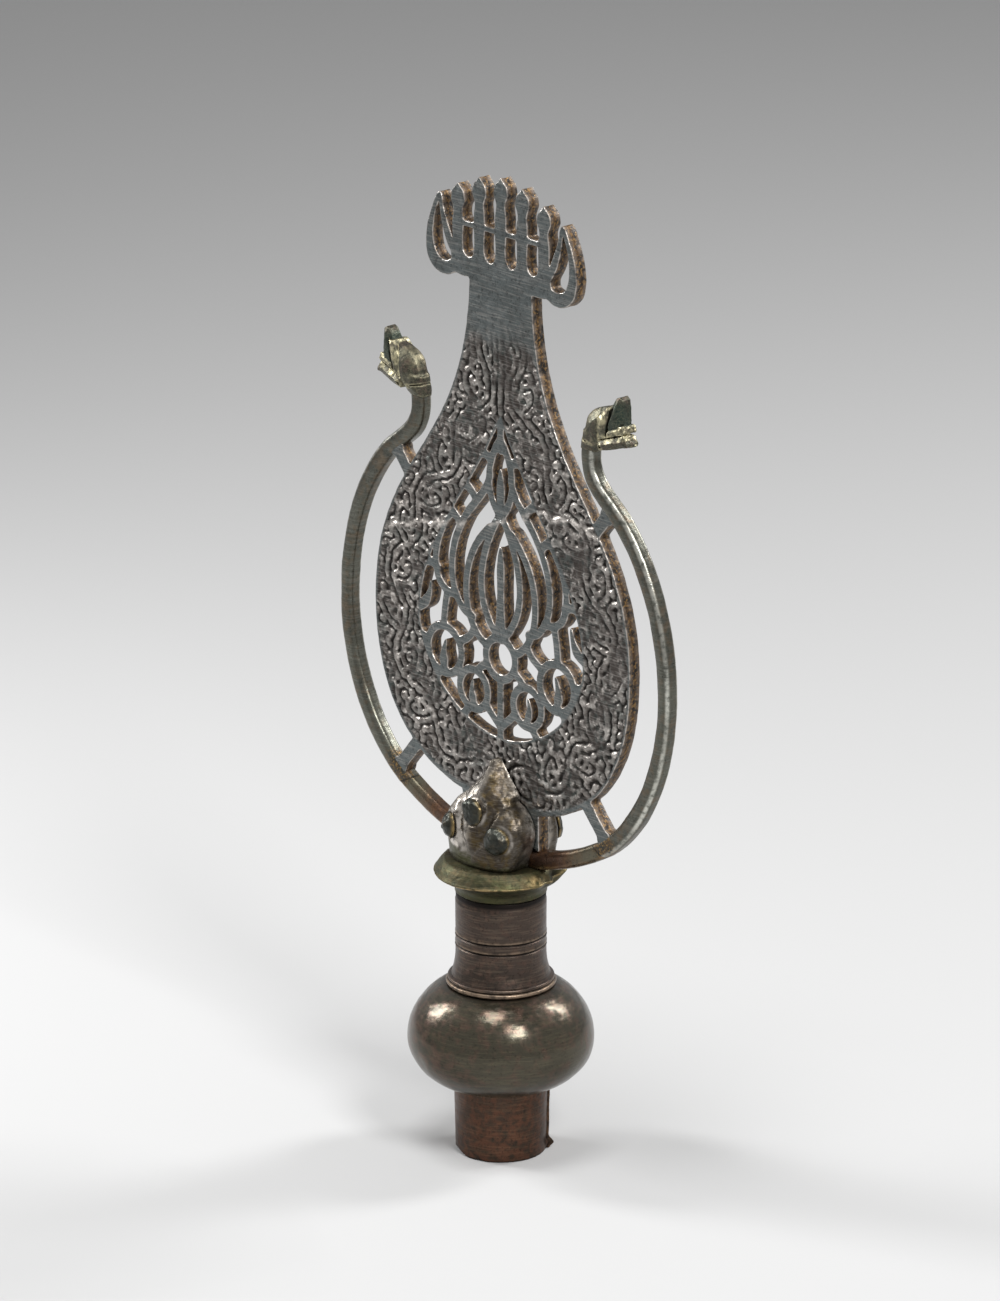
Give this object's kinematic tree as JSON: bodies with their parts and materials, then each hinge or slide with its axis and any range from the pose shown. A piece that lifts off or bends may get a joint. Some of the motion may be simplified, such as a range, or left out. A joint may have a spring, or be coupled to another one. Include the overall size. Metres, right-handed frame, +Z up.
{
  "type": "processional standard finial",
  "caption": "Pierced teardrop finial of a processional standard in brass, on a hollow bulbed socket for a pole, framed by a hoop ending in dragon heads.",
  "frame": {"origin": "centre of the socket tube's lower rim, on the shaft's axis", "axes": "+Z up the shaft's axis towards the crest, -Y out of the blade's front face, +X to the right of the front face"},
  "size_m": [0.164, 0.0636, 0.3409],
  "materials": {
    "socket_sheet": "rolled sheet, dark reddish brown patina",
    "bulb_brass": "raised and burnished, dark olive patina",
    "neck_sheet": "turned, grey brown patina",
    "collar_brass": "cast and turned, olive patina, worn rim",
    "clasp_brass": "cast, brown grey patina",
    "stud_brass": "hammered, dark grey patina",
    "blade_brass": "cast and chased, worn grey brown patina",
    "stub_copper_brass": "forged, reddish copper brown",
    "arm_brass": "filed rod, olive green patina, bright edges",
    "head_brass": "cast and filed, olive patina, worn high spots"
  },
  "bodies": {
    "root": {"socket_tube": "socket_sheet", "bulb": "bulb_brass", "neck_tube": "neck_sheet", "flange_collar": "collar_brass", "front_clasp": "clasp_brass", "rear_clasp": "clasp_brass", "through_rivet": "stud_brass", "front_left_stud": "stud_brass", "front_right_stud": "stud_brass", "rear_left_stud": "stud_brass", "rear_right_stud": "stud_brass", "blade": "blade_brass", "left_stub": "stub_copper_brass", "right_stub": "stub_copper_brass", "left_arm": "arm_brass", "right_arm": "arm_brass", "left_dragon_head": "head_brass", "right_dragon_head": "head_brass"}
  },
  "joints": []
}
